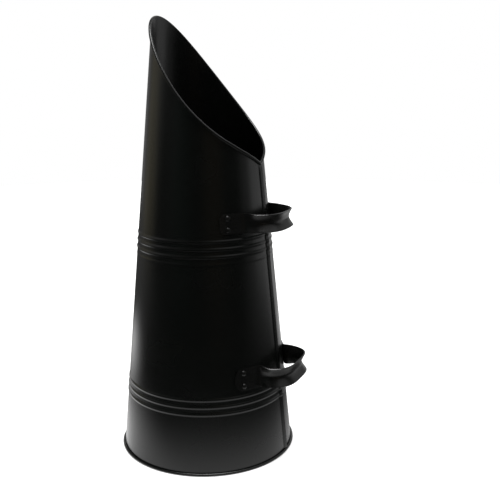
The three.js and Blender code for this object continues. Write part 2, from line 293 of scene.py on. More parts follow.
# %% The mouth line as a node group
CLIMB = (0.4376, -0.0523, 0.042, 1.2207, -0.648)
mouth_sizes = {"Angle": 0.0, "Low": MOUTH_LOW, "High": MOUTH_HIGH, "Foot Radius": FOOT_RADIUS,
               "Taper": TAPER, "Roll Radius": ROLL_RADIUS}
mouth_tree = new_tree("mouth_line", mouth_sizes, gives={
    "Centre": "NodeSocketVector", "Out": "NodeSocketVector", "Height": "NodeSocketFloat"})
given = add_node(mouth_tree, "NodeGroupInput").outputs

half_angle = add_node(mouth_tree, MATH, {0: given["Angle"], 1: 0.5}, operation="MULTIPLY")
sine = add_node(mouth_tree, MATH, {0: half_angle}, operation="SINE")
s = add_node(mouth_tree, MATH, {0: sine}, operation="ABSOLUTE")
climb = 0.0
for factor in reversed(CLIMB):
    climb = add_node(mouth_tree, MATH, {0: climb, 1: s, 2: factor}, operation="MULTIPLY_ADD")
climb = add_node(mouth_tree, MATH, {0: climb, 1: s}, operation="MULTIPLY")
rise = add_node(mouth_tree, MATH, {0: given["High"], 1: given["Low"]}, operation="SUBTRACT")
height = add_node(mouth_tree, MATH, {0: climb, 1: rise, 2: given["Low"]}, operation="MULTIPLY_ADD")


# The radius of the wall's inner face at a height: two roll radii less than the foot's at the level
# of the foot's wire, and smaller above it by the taper
def inner_radius(tree, given, height):
    shrink = add_node(tree, MATH, {0: given["Roll Radius"], 1: 2.0, 2: -FOOT_WIRE_Z * TAPER},
                      operation="MULTIPLY_ADD")
    at_floor = add_node(tree, MATH, {0: given["Foot Radius"], 1: shrink}, operation="SUBTRACT")
    lean = add_node(tree, MATH, {0: height, 1: given["Taper"]}, operation="MULTIPLY")
    return add_node(tree, MATH, {0: at_floor, 1: lean}, operation="SUBTRACT")


# The wall's inner face there, and the direction straight out of the wall
inner = inner_radius(mouth_tree, given, height)
cosine = add_node(mouth_tree, MATH, {0: given["Angle"]}, operation="COSINE")
sine = add_node(mouth_tree, MATH, {0: given["Angle"]}, operation="SINE")
leaning = add_node(mouth_tree, "ShaderNodeCombineXYZ", {"X": cosine, "Y": sine, "Z": given["Taper"]})
out = add_node(mouth_tree, VECTOR, {0: leaning}, operation="NORMALIZE")
ring = add_node(mouth_tree, "ShaderNodeCombineXYZ", {"X": cosine, "Y": sine})
ring = add_node(mouth_tree, VECTOR, {0: ring, "Scale": inner}, operation="SCALE")
lift = add_node(mouth_tree, "ShaderNodeCombineXYZ", {"Z": height})
edge = add_node(mouth_tree, VECTOR, {0: ring, 1: lift}, operation="ADD")
offset = add_node(mouth_tree, VECTOR, {0: out, "Scale": given["Roll Radius"]}, operation="SCALE")
centre = add_node(mouth_tree, VECTOR, {0: edge, 1: offset}, operation="ADD")
add_node(mouth_tree, "NodeGroupOutput", {"Centre": centre, "Out": out, "Height": height})
print("mouth line:", len(mouth_tree.nodes), "nodes")

# %% [markdown]
# ## The body
# The body could be turned and cut, but a rule describes it completely, so Geometry Nodes draw it.
# A flat grid is laid out first. Its columns stand round the body and its rows follow the sheet from
# the curl at the foot, up the inner face, and round the curl at the mouth. Each grid point works out
# its column's angle and its row's height, and moves to its place on the sheet. Columns crowd
# together at the lock seam and rows at the pressed ribs, where the shape changes fastest.

# %% Rows and columns of the body's grid
HALF_COLUMNS = 92
ROLL_ROWS = 16
RIB_PITCH = 8.7
RIB_WIDTH = 5.0
# Each band of ribs: height of its middle rib, ribs on each side of that, and how far they stand out
RIB_BANDS = ((82.4, 1, 0.8), (266.5, 1, 0.8), (249.1, 0, 0.3))
# The wall in stages: the height where each one ends and its number of rows
STAGES = ((6.0, 4), (68.0, 4), (97.0, 48), (244.0, 6), (281.0, 60))
# The last stage, up to the mouth line, which is not level
TOP_ROWS = 14
WALL_ROWS = sum(count for _, count in STAGES) + TOP_ROWS
ROWS = ROLL_ROWS + WALL_ROWS + ROLL_ROWS
# The angles of a curl, from the sheet's raw edge to the wall
ROLL_TURN = (math.radians(-105), math.radians(180))
print("grid:", 2 * HALF_COLUMNS + 1, "columns by", ROWS + 1, "rows")

# %% Grid coordinates
body_sizes = {"Foot Radius": FOOT_RADIUS, "Taper": TAPER, "Mouth Low": MOUTH_LOW,
              "Mouth High": MOUTH_HIGH, "Roll Radius": ROLL_RADIUS, "Rib Pitch": RIB_PITCH,
              "Rib Width": RIB_WIDTH, "Seam Half Width": 2.75, "Seam Low Side": 0.6,
              "Seam High Side": 2.2}
body_tree = new_tree("rolled_body", body_sizes)
given = add_node(body_tree, "NodeGroupInput").outputs
grid = add_node(body_tree, "GeometryNodeMeshGrid", {
    "Size X": 2.0 * HALF_COLUMNS, "Size Y": float(ROWS),
    "Vertices X": 2 * HALF_COLUMNS + 1, "Vertices Y": ROWS + 1})
here = add_node(body_tree, "GeometryNodeInputPosition")
parts = add_node(body_tree, "ShaderNodeSeparateXYZ", {0: here})
column = add_node(body_tree, MATH, {0: parts.outputs["X"]}, operation="ROUND")
row = add_node(body_tree, MATH, {0: parts.outputs["Y"], 1: ROWS / 2}, operation="ADD")
from_seam = add_node(body_tree, MATH, {0: column}, operation="ABSOLUTE")
side = add_node(body_tree, MATH, {0: column}, operation="SIGN")
print("column 0 runs up the middle of the seam, column", HALF_COLUMNS, "up the back")

# %% [markdown]
# The rows' heights add up stage by stage. Only the last stage, from the upper ribs to the mouth,
# stretches with the mouth line. A column beside the seam keeps its distance from the seam's middle
# in millimetres, so that the folded strip has parallel sides on a tapering body.

# %% Heights and angles
low_height = FOOT_WIRE_Z
stage_row = ROLL_ROWS
stage_foot = FOOT_WIRE_Z
for end, count in STAGES:
    stage = add_node(body_tree, MAP, {"Value": row, 1: float(stage_row), 2: float(stage_row + count),
                                      3: 0.0, 4: end - stage_foot})
    low_height = add_node(body_tree, MATH, {0: low_height, 1: stage}, operation="ADD")
    stage_row += count
    stage_foot = end
top_share = add_node(body_tree, MAP, {"Value": row, 1: float(stage_row),
                                      2: float(stage_row + TOP_ROWS)})
seam_rise = add_node(body_tree, MATH, {0: given["Mouth Low"], 1: stage_foot}, operation="SUBTRACT")
seam_height = add_node(body_tree, MATH, {0: top_share, 1: seam_rise, 2: low_height},
                       operation="MULTIPLY_ADD")
seam_radius = inner_radius(body_tree, given, seam_height)

# Columns beside the seam, on each side, how far apart, and how many steps before the strip's edge
SEAM_COLUMNS = 6
COLUMN_STEP = 0.4
STEPS_BEFORE_EDGE = 2.4
near = add_node(body_tree, MATH, {0: from_seam, 1: float(SEAM_COLUMNS)}, operation="MINIMUM")
on_seam = add_node(body_tree, MATH, {0: near, 1: 0.5}, operation="GREATER_THAN")
first_step = add_node(body_tree, MATH, {
    0: given["Seam Half Width"], 1: STEPS_BEFORE_EDGE * COLUMN_STEP}, operation="SUBTRACT")
distance = add_node(body_tree, MATH, {0: near, 1: COLUMN_STEP, 2: first_step},
                    operation="MULTIPLY_ADD")
distance = add_node(body_tree, MATH, {0: distance, 1: on_seam}, operation="MULTIPLY")
near_angle = add_node(body_tree, MATH, {0: distance, 1: seam_radius}, operation="DIVIDE")
share = add_node(body_tree, MAP, {"Value": from_seam, 1: float(SEAM_COLUMNS),
                                  2: float(HALF_COLUMNS)})
last_distance = add_node(body_tree, MATH, {0: SEAM_COLUMNS * COLUMN_STEP, 1: first_step},
                         operation="ADD")
last_angle = add_node(body_tree, MATH, {0: last_distance, 1: seam_radius}, operation="DIVIDE")
rest = add_node(body_tree, MATH, {0: math.pi, 1: last_angle}, operation="SUBTRACT")
turn = add_node(body_tree, MATH, {0: share, 1: rest, 2: near_angle}, operation="MULTIPLY_ADD")
angle = add_node(body_tree, MATH, {0: turn, 1: side}, operation="MULTIPLY")
print("angles and heights: tree has", len(body_tree.nodes), "nodes so far")

# %% The wall: taper, ribs and lock seam
mouth_inputs = {"Low": given["Mouth Low"], "High": given["Mouth High"], "Taper": given["Taper"],
                "Foot Radius": given["Foot Radius"], "Roll Radius": given["Roll Radius"]}


def mouth_at(angle_node):
    group = add_node(body_tree, "GeometryNodeGroup", node_tree=mouth_tree)
    for label, socket in {**mouth_inputs, "Angle": angle_node.outputs[0]}.items():
        body_tree.links.new(socket, group.inputs[label])
    return group.outputs


mouth = mouth_at(angle)
climb_here = add_node(body_tree, MATH, {0: mouth["Height"], 1: stage_foot}, operation="SUBTRACT")
height = add_node(body_tree, MATH, {0: top_share, 1: climb_here, 2: low_height},
                  operation="MULTIPLY_ADD")
radius = inner_radius(body_tree, given, height)
half_rib = add_node(body_tree, MATH, {0: given["Rib Width"], 1: 0.5}, operation="MULTIPLY")
for middle, each_side, proud in RIB_BANDS:
    away = add_node(body_tree, MATH, {0: height, 1: middle}, operation="SUBTRACT")
    ribs = add_node(body_tree, MATH, {0: away, 1: given["Rib Pitch"]}, operation="DIVIDE")
    nearest = add_node(body_tree, MATH, {0: ribs}, operation="ROUND")
    nearest = add_node(body_tree, "ShaderNodeClamp", {"Value": nearest, "Min": -each_side,
                                                      "Max": each_side})
    off = add_node(body_tree, MATH, {0: ribs, 1: nearest}, operation="SUBTRACT")
    off = add_node(body_tree, MATH, {0: off, 1: given["Rib Pitch"]}, operation="MULTIPLY")
    off = add_node(body_tree, MATH, {0: off}, operation="ABSOLUTE")
    swell = add_node(body_tree, MAP, {"Value": off, 1: 0.0, 2: half_rib, 3: proud, 4: 0.0},
                     interpolation_type="SMOOTHSTEP")
    radius = add_node(body_tree, MATH, {0: radius, 1: swell}, operation="ADD")

# The folded strip leans: it lies low on one side and stands up on the other. STRIP_EDGE is half the
# width over which an edge falls away. The strip rises out of the wall between the two heights of
# STRIP_START, and sinks into it between two shares of the last stage, STRIP_END
STRIP_EDGE = 0.6
STRIP_START = (2.0, 4.0)
STRIP_END = (0.93, 0.99)
signed = add_node(body_tree, MATH, {0: distance, 1: side}, operation="MULTIPLY")
minus_half = add_node(body_tree, MATH, {0: given["Seam Half Width"], 1: -1.0}, operation="MULTIPLY")
fold = add_node(body_tree, MAP, {"Value": signed, 1: minus_half, 2: given["Seam Half Width"],
                                 3: given["Seam Low Side"], 4: given["Seam High Side"]})
edge_in = add_node(body_tree, MATH, {0: given["Seam Half Width"], 1: STRIP_EDGE},
                   operation="SUBTRACT")
edge_out = add_node(body_tree, MATH, {0: given["Seam Half Width"], 1: STRIP_EDGE}, operation="ADD")
strip = add_node(body_tree, MAP, {"Value": distance, 1: edge_in, 2: edge_out, 3: 1.0, 4: 0.0},
                 interpolation_type="SMOOTHSTEP")
above_foot = add_node(body_tree, MAP, {"Value": height, 1: STRIP_START[0], 2: STRIP_START[1]},
                      interpolation_type="SMOOTHSTEP")
below_mouth = add_node(body_tree, MAP, {"Value": top_share, 1: STRIP_END[0], 2: STRIP_END[1],
                                        3: 1.0, 4: 0.0}, interpolation_type="SMOOTHSTEP")
for factor in (strip, above_foot, below_mouth):
    fold = add_node(body_tree, MATH, {0: fold, 1: factor}, operation="MULTIPLY")
beside = add_node(body_tree, MATH, {0: from_seam, 1: SEAM_COLUMNS + 0.5}, operation="LESS_THAN")
fold = add_node(body_tree, MATH, {0: fold, 1: beside}, operation="MULTIPLY")
radius = add_node(body_tree, MATH, {0: radius, 1: fold}, operation="ADD")

cosine = add_node(body_tree, MATH, {0: angle}, operation="COSINE")
sine = add_node(body_tree, MATH, {0: angle}, operation="SINE")
outwards = add_node(body_tree, "ShaderNodeCombineXYZ", {"X": cosine, "Y": sine})
wall = add_node(body_tree, VECTOR, {0: outwards, "Scale": radius}, operation="SCALE")
lift = add_node(body_tree, "ShaderNodeCombineXYZ", {"Z": height})
wall = add_node(body_tree, VECTOR, {0: wall, 1: lift}, operation="ADD")
print("wall: tree has", len(body_tree.nodes), "nodes so far")

# %% [markdown]
# Both edges of the sheet curl outwards round a wire, nearly four fifths of the way round. At the foot
# the curl lies level. At the mouth it follows the mouth line, so it needs that line's direction,
# found from a point just before and a point just after. At the V the two halves meet in a mitre,
# which makes the curl's section there taller by the slope of the line.

# %% The curls at the foot and the mouth
foot_turn = add_node(body_tree, MAP, {"Value": row, 1: 0.0, 2: float(ROLL_ROWS), 3: ROLL_TURN[0],
                                      4: ROLL_TURN[1]})
mouth_turn = add_node(body_tree, MAP, {"Value": row, 1: float(ROWS - ROLL_ROWS), 2: float(ROWS),
                                       3: ROLL_TURN[1], 4: ROLL_TURN[0]})
foot_ring = add_node(body_tree, MATH, {0: given["Foot Radius"], 1: given["Roll Radius"]},
                     operation="SUBTRACT")
foot_centre = add_node(body_tree, VECTOR, {0: outwards, "Scale": foot_ring}, operation="SCALE")
foot_centre = add_node(body_tree, VECTOR, {0: foot_centre, 1: (0, 0, FOOT_WIRE_Z)}, operation="ADD")

TANGENT_STEP = 0.002
after = mouth_at(add_node(body_tree, MATH, {0: angle, 1: TANGENT_STEP}, operation="ADD"))
before = mouth_at(add_node(body_tree, MATH, {0: angle, 1: -TANGENT_STEP}, operation="ADD"))
along = add_node(body_tree, VECTOR, {0: after["Centre"], 1: before["Centre"]}, operation="SUBTRACT")
along = add_node(body_tree, VECTOR, {0: along}, operation="NORMALIZE")
ahead = add_node(body_tree, VECTOR, {0: after["Centre"], 1: mouth["Centre"]}, operation="SUBTRACT")
ahead = add_node(body_tree, VECTOR, {0: ahead}, operation="NORMALIZE")
mitre = add_node(body_tree, VECTOR, {0: ahead, 1: along}, operation="DOT_PRODUCT").outputs["Value"]
off_edge = add_node(body_tree, VECTOR, {0: mouth["Out"], 1: along}, operation="CROSS_PRODUCT")
off_edge = add_node(body_tree, VECTOR, {0: off_edge}, operation="NORMALIZE")
stretch = add_node(body_tree, MATH, {0: 1.0, 1: mitre}, operation="DIVIDE")
off_edge = add_node(body_tree, VECTOR, {0: off_edge, "Scale": stretch}, operation="SCALE")

curls = []
for turn_node, middle, straight_out, off in (
        (foot_turn, foot_centre.outputs[0], outwards.outputs[0], (0, 0, -1)),
        (mouth_turn, mouth["Centre"], mouth["Out"], off_edge)):
    cosine = add_node(body_tree, MATH, {0: turn_node}, operation="COSINE")
    sine = add_node(body_tree, MATH, {0: turn_node}, operation="SINE")
    across = add_node(body_tree, VECTOR, {0: straight_out, "Scale": cosine}, operation="SCALE")
    upright = add_node(body_tree, VECTOR, {0: off, "Scale": sine}, operation="SCALE")
    reach = add_node(body_tree, VECTOR, {0: across, 1: upright}, operation="ADD")
    reach = add_node(body_tree, VECTOR, {0: reach, "Scale": given["Roll Radius"]}, operation="SCALE")
    curls.append(add_node(body_tree, VECTOR, {0: middle, 1: reach}, operation="ADD"))

in_foot = add_node(body_tree, MATH, {0: row, 1: ROLL_ROWS + 0.5}, operation="LESS_THAN")
in_mouth = add_node(body_tree, MATH, {0: row, 1: ROWS - ROLL_ROWS - 0.5}, operation="GREATER_THAN")
sheet = add_node(body_tree, "ShaderNodeMix", {"Factor": in_foot, 4: wall, 5: curls[0]},
                 data_type="VECTOR")
sheet = add_node(body_tree, "ShaderNodeMix", {"Factor": in_mouth, 4: sheet.outputs[1],
                                              5: curls[1]}, data_type="VECTOR")
metres = add_node(body_tree, VECTOR, {0: sheet.outputs[1], "Scale": MM}, operation="SCALE")
place = add_node(body_tree, VECTOR, {0: metres, 1: AXIS}, operation="ADD")
moved = add_node(body_tree, "GeometryNodeSetPosition", {"Geometry": grid, "Position": place})
end_tree(body_tree, moved, body_enamel)

# %% Make the body, its thickness outwards from the drawn inner face
MERGE_DISTANCE = 0.01 * MM
body = run_tree("rolled_body", body_tree, body_sizes)
body = bake(body, merge=MERGE_DISTANCE, thickness=SHEET * MM, offset=1.0)
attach(body, "root")
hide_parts("body_shell")

# %% [markdown]
# ## The bottom pan
# The bottom is a separate pressed disc with a turned-down rim, held a little above the floor inside
# the tapering wall. A disc is a turned shape, so its section is drawn once and spun round the axis.
# The press rounds the corner between disc and rim, so the section has a small arc there. Spinning
# can leave a shape inside out, so its faces are turned outwards after its points are merged.

# %% Turning a section
SPIN_MERGE = 0.002 * MM


def turned(name, section, sides, material):
    shape = bmesh.new()
    points = [shape.verts.new((radius * MM, 0, z * MM)) for radius, z in section]
    edges = [shape.edges.new(pair) for pair in zip(points, points[1:])]
    bmesh.ops.spin(shape, geom=points + edges, cent=(0, 0, 0), axis=(0, 0, 1),
                   angle=2 * math.pi, steps=sides)
    bmesh.ops.remove_doubles(shape, verts=shape.verts, dist=SPIN_MERGE)
    bmesh.ops.recalc_face_normals(shape, faces=shape.faces)
    mesh = bpy.data.meshes.new(name)
    shape.to_mesh(mesh)
    shape.free()
    mesh.materials.append(material)
    shade(mesh)
    print(name, len(mesh.polygons), "faces")
    return mesh


def arc(centre, radius, start, end, steps):
    turns = [math.radians(start + (end - start) * i / steps) for i in range(steps + 1)]
    return [(centre[0] + radius * math.cos(t), centre[1] + radius * math.sin(t)) for t in turns]


# %% Make the bottom pan
PAN_HEIGHT = 14.0
PAN_FLANGE = 9.0
PAN_SHEET = 0.9
PAN_CORNER = 2.4
CORNER_STEPS = 6
PAN_SIDES = 144
pan_foot = PAN_HEIGHT - PAN_FLANGE
rim_top = wall_radius(PAN_HEIGHT - PAN_CORNER) - SHEET - GAP
rim_foot = wall_radius(pan_foot) - SHEET - GAP
bend = (rim_top - PAN_CORNER, PAN_HEIGHT - PAN_CORNER)
section = ([(0, PAN_HEIGHT)]
           + arc(bend, PAN_CORNER, 90, 0, CORNER_STEPS)
           + [(rim_foot, pan_foot), (rim_foot - PAN_SHEET, pan_foot)]
           + arc(bend, PAN_CORNER - PAN_SHEET, 0, 90, CORNER_STEPS)
           + [(0, PAN_HEIGHT - PAN_SHEET)])
pan_mesh = turned("bottom_pan", section, PAN_SIDES, pan_enamel)
pan_mesh.transform(Matrix.Translation(AXIS))
pan = add_object("bottom_pan", pan_mesh)
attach(pan, "root")
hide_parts("base_pan")

# %% [markdown]
# ## The strap handles
# Each handle is a steel strap. Its ends lie flat on the wall and are riveted there. Between them it
# bows out in a rounded rectangle, and its edges are turned outwards, which stiffens it and keeps the
# raw edges away from the fingers. The plan of its middle line is worked out first: an arc on the
# wall, a small bend, and the bow, which is a superellipse.

# %% Plan of a strap's middle line
STRAP_THICKNESS = 1.5
BEND_REACH = 4.0
# reach, spread, depth and power shape the bow, and flare and middle its section. The flat ends have
# a length, tab, and corners, end. The rivets have an inset from the ends and a pitch
HANDLES = {
    "upper_handle": {"height": 294.6, "width": 23, "reach": 25.6, "spread": 41, "depth": 62,
                     "power": 3.0, "flare": 0.85, "middle": 6.0, "tab": 30, "end": 7, "inset": 9.5,
                     "pitch": 13.2},
    "lower_handle": {"height": 111.5, "width": 26, "reach": 24.2, "spread": 40, "depth": 40,
                     "power": 3.5, "flare": 0.9, "middle": 3.5, "tab": 34, "end": 11, "inset": 11,
                     "pitch": 15.6},
}
# Points along each part of half the plan, and how often a searched angle's range is halved
TAB_POINTS = 24
BEND_POINTS = 12
BOW_POINTS = 40
HALVINGS = 40


def strap_plan(handle):
    seat = wall_radius(handle["height"]) + GAP + STRAP_THICKNESS / 2
    bow_centre = wall_radius(handle["height"]) + handle["reach"] - handle["depth"]

    def bow(turn):
        across = abs(math.sin(turn)) / handle["spread"]
        outward = abs(math.cos(turn)) / handle["depth"]
        size = (across ** handle["power"] + outward ** handle["power"]) ** (-1 / handle["power"])
        return Vector((bow_centre + size * math.cos(turn), -size * math.sin(turn)))

    def turn_at(distance):
        low, high = 0.0, math.pi / 2
        for _ in range(HALVINGS):
            middle = (low + high) / 2
            low, high = (middle, high) if bow(middle).length > distance else (low, middle)
        return low

    corner = bow(turn_at(seat))
    corner_angle = math.atan2(corner.y, corner.x)

    def on_seat(from_corner):
        angle = corner_angle - from_corner / seat
        return Vector((math.cos(angle), math.sin(angle))) * seat

    first = turn_at(seat + BEND_REACH)
    tab = [on_seat(handle["tab"] + (BEND_REACH - handle["tab"]) * i / TAB_POINTS)
           for i in range(TAB_POINTS)]
    ends = (on_seat(BEND_REACH), corner, bow(first))
    bend = [ends[0] * (1 - t) ** 2 + ends[1] * 2 * t * (1 - t) + ends[2] * t * t
            for t in (i / BEND_POINTS for i in range(BEND_POINTS))]
    half = tab + bend + [bow(first * (1 - i / BOW_POINTS)) for i in range(BOW_POINTS + 1)]
    return half + [Vector((p.x, -p.y)) for p in reversed(half[:-1])], seat


plan, seat = strap_plan(HANDLES["upper_handle"])
print("upper strap plan:", len(plan), "points, seat radius %.1f mm" % seat)

# %% [markdown]
# A second tree sweeps the strap along that plan. It lays out a grid, along the strap and across it,
# and samples the plan at each row. On the flat ends the section is straight. Past the bend it opens
# outwards into a hyperbola, so that the edges flare. The grid narrows at both ends to give them
# rounded corners, with its rows crowded there.

# %% The strap tree
STRAP_ROWS = 150
STRAP_STRIPS = 16
END_ROWS = 9
LEAST_FLARE = 0.001
strap_sizes = {"Height": 0.0, "Half Width": 0.0, "End Radius": 0.0, "Flare": 0.0,
               "Flare Run": 14.0, "Seat Radius": 0.0, "Half Length": 0.0, "Taper": TAPER,
               "Middle Radius": 4.0}
strap_tree = new_tree("strap_handle", strap_sizes, takes=GEOMETRY)
given = add_node(strap_tree, "NodeGroupInput").outputs
grid = add_node(strap_tree, "GeometryNodeMeshGrid", {
    "Size X": float(STRAP_ROWS), "Size Y": 2.0, "Vertices X": STRAP_ROWS + 1,
    "Vertices Y": STRAP_STRIPS + 1})
here = add_node(strap_tree, "GeometryNodeInputPosition")
parts = add_node(strap_tree, "ShaderNodeSeparateXYZ", {0: here})
far_side = add_node(strap_tree, MATH, {0: parts.outputs["X"]}, operation="ABSOLUTE")
from_end = add_node(strap_tree, MATH, {0: STRAP_ROWS / 2, 1: far_side}, operation="SUBTRACT")

# Distance from the nearer end: a quarter turn of the corner first, then even steps
quarter = add_node(strap_tree, MAP, {"Value": from_end, 1: 0.0, 2: float(END_ROWS), 3: 0.0,
                                     4: math.pi / 2})
sine = add_node(strap_tree, MATH, {0: quarter}, operation="SINE")
cosine = add_node(strap_tree, MATH, {0: quarter}, operation="COSINE")
one_less = add_node(strap_tree, MATH, {0: 1.0, 1: cosine}, operation="SUBTRACT")
rounded = add_node(strap_tree, MATH, {0: one_less, 1: given["End Radius"]}, operation="MULTIPLY")
straight = add_node(strap_tree, MATH, {0: given["Half Length"], 1: given["End Radius"]},
                    operation="SUBTRACT")
beyond = add_node(strap_tree, MAP, {"Value": from_end, 1: float(END_ROWS), 2: STRAP_ROWS / 2,
                                    3: 0.0, 4: straight})
distance = add_node(strap_tree, MATH, {0: rounded, 1: beyond}, operation="ADD")
short = add_node(strap_tree, MATH, {0: 1.0, 1: sine}, operation="SUBTRACT")
cut = add_node(strap_tree, MATH, {0: short, 1: given["End Radius"]}, operation="MULTIPLY")
half_width = add_node(strap_tree, MATH, {0: given["Half Width"], 1: cut}, operation="SUBTRACT")
second_half = add_node(strap_tree, MATH, {0: parts.outputs["X"], 1: 0.0}, operation="GREATER_THAN")
whole = add_node(strap_tree, MATH, {0: given["Half Length"], 1: 2.0}, operation="MULTIPLY")
back = add_node(strap_tree, MATH, {0: whole, 1: distance}, operation="SUBTRACT")
along = add_node(strap_tree, "ShaderNodeMix", {"Factor": second_half, 2: distance, 3: back},
                 data_type="FLOAT")
print("strap grid:", STRAP_ROWS + 1, "rows by", STRAP_STRIPS + 1)

# %% The strap's section
line = add_node(strap_tree, "GeometryNodeMeshToCurve", {"Mesh": given["Geometry"]})
sample = add_node(strap_tree, "GeometryNodeSampleCurve", {"Curves": line, "Length": along.outputs[0]},
                  mode="LENGTH").outputs
middle = sample["Position"]
direction = add_node(strap_tree, "ShaderNodeSeparateXYZ", {0: sample["Tangent"]}).outputs
minus_x = add_node(strap_tree, MATH, {0: direction["X"], 1: -1.0}, operation="MULTIPLY")
out = add_node(strap_tree, "ShaderNodeCombineXYZ", {"X": direction["Y"], "Y": minus_x})
from_axis = add_node(strap_tree, VECTOR, {0: middle}, operation="LENGTH").outputs["Value"]
past_bend = add_node(strap_tree, MATH, {0: from_axis, 1: given["Seat Radius"]}, operation="SUBTRACT")
opened = add_node(strap_tree, MAP, {"Value": past_bend, 1: 0.0, 2: given["Flare Run"],
                                    3: LEAST_FLARE, 4: given["Flare"]},
                  interpolation_type="SMOOTHSTEP")
bend_radius = add_node(strap_tree, MATH, {0: half_width, 1: opened}, operation="DIVIDE")
sine = add_node(strap_tree, MATH, {0: opened}, operation="SINE")
cosine = add_node(strap_tree, MATH, {0: opened}, operation="COSINE")
one_less = add_node(strap_tree, MATH, {0: 1.0, 1: cosine}, operation="SUBTRACT")
edge_rise = add_node(strap_tree, MATH, {0: sine, 1: bend_radius}, operation="MULTIPLY")
edge_hollow = add_node(strap_tree, MATH, {0: one_less, 1: bend_radius}, operation="MULTIPLY")
rise = add_node(strap_tree, MATH, {0: edge_rise, 1: parts.outputs["Y"]}, operation="MULTIPLY")

# A hyperbola: round in the middle and nearly straight towards the edges
middle_squared = add_node(strap_tree, MATH, {0: given["Middle Radius"], 1: 2.0}, operation="POWER")
bowls = []
for reach in (rise, edge_rise):
    squared = add_node(strap_tree, MATH, {0: reach, 1: reach, 2: middle_squared},
                       operation="MULTIPLY_ADD")
    root = add_node(strap_tree, MATH, {0: squared}, operation="SQRT")
    bowls.append(add_node(strap_tree, MATH, {0: root, 1: given["Middle Radius"]},
                          operation="SUBTRACT"))
depth_share = add_node(strap_tree, MATH, {0: bowls[0], 1: bowls[1]}, operation="DIVIDE")
hollow = add_node(strap_tree, MATH, {0: depth_share, 1: edge_hollow}, operation="MULTIPLY")
level = add_node(strap_tree, MATH, {0: given["Height"], 1: rise}, operation="ADD")
lift = add_node(strap_tree, "ShaderNodeCombineXYZ", {"Z": level})
flared = add_node(strap_tree, VECTOR, {0: out, "Scale": hollow}, operation="SCALE")
lean = add_node(strap_tree, MATH, {0: given["Taper"], 1: rise}, operation="MULTIPLY")
lean = add_node(strap_tree, MATH, {0: lean, 1: -1.0}, operation="MULTIPLY")
inwards = add_node(strap_tree, VECTOR, {0: middle}, operation="NORMALIZE")
inwards = add_node(strap_tree, VECTOR, {0: inwards, "Scale": lean}, operation="SCALE")
place = add_node(strap_tree, VECTOR, {0: middle, 1: lift}, operation="ADD")
place = add_node(strap_tree, VECTOR, {0: place, 1: flared}, operation="ADD")
place = add_node(strap_tree, VECTOR, {0: place, 1: inwards}, operation="ADD")
metres = add_node(strap_tree, VECTOR, {0: place, "Scale": MM}, operation="SCALE")
place = add_node(strap_tree, VECTOR, {0: metres, 1: AXIS}, operation="ADD")
moved = add_node(strap_tree, "GeometryNodeSetPosition", {"Geometry": grid, "Position": place})
end_tree(strap_tree, moved, strap_enamel)

# %% Make the handles
STRAP_EDGE = 0.65
for name, handle in HANDLES.items():
    plan, seat = strap_plan(handle)
    line_mesh = bpy.data.meshes.new(name + "_strap")
    line_mesh.from_pydata([(p.x, p.y, 0) for p in plan],
                          [(i, i + 1) for i in range(len(plan) - 1)], [])
    length = sum((b - a).length for a, b in zip(plan, plan[1:]))
    strap = run_tree(name + "_strap", strap_tree, {
        "Height": handle["height"], "Half Width": handle["width"] / 2, "Flare": handle["flare"],
        "End Radius": float(handle["end"]), "Seat Radius": seat, "Half Length": length / 2,
        "Middle Radius": handle["middle"]}, line_mesh)
    strap = bake(strap, thickness=STRAP_THICKNESS * MM, bevel=STRAP_EDGE * MM)
    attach(strap, "root")
    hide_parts(name)
    print(name, "is bent from %.0f mm of strap" % length)

# %% [markdown]
# ## The rivets
# Two rivets hold each end of each strap. Their domed heads were set with a hollow punch, so they are
# all alike but never quite the same size. One rivet is turned, and a tree puts a copy at each point
# of a small mesh, standing along that point's own axis attribute. A fixed seed gives each its size.

# %% Turn one rivet
RIVET_RADIUS = 2.0
RIVET_HEAD = 3.3
RIVET_DOME = 1.9
RIVET_TAIL = 2.9
RIVET_TAIL_HEIGHT = 1.2
RIVET_SIDES = 28
# The upright rims below the head's and the tail's domes, and how far each draws in where it lands
HEAD_RIM = 0.15
TAIL_RIM = 0.3
HEAD_DRAW = 0.08
TAIL_DRAW = 0.1
# The CAD body has flats, so the middle of each lies this far inside its round
CAD_SIDES = 44
FACET_SAG = FOOT_RADIUS * (1 - math.cos(math.pi / CAD_SIDES))
head_seat = GAP + STRAP_THICKNESS + GAP
tail_seat = -(SHEET + FACET_SAG + GAP)


def domed(radius, foot, height, step):
    turns = [math.radians(degrees) for degrees in range(0, 91, step)]
    return [(radius * math.cos(t), foot + height * math.sin(t)) for t in turns]


dome = domed(RIVET_HEAD, head_seat + HEAD_RIM, RIVET_DOME - HEAD_RIM, 10)
tail = domed(RIVET_TAIL, tail_seat - TAIL_RIM, TAIL_RIM - RIVET_TAIL_HEIGHT, 15)
section = (list(reversed(tail))
           + [(RIVET_TAIL - TAIL_DRAW, tail_seat), (RIVET_RADIUS, tail_seat),
              (RIVET_RADIUS, head_seat), (RIVET_HEAD - HEAD_DRAW, head_seat)]
           + dome)
section[0] = (0, section[0][1])
section[-1] = (0, section[-1][1])
one_rivet = add_object("one_rivet", turned("one_rivet", section, RIVET_SIDES, strap_enamel))

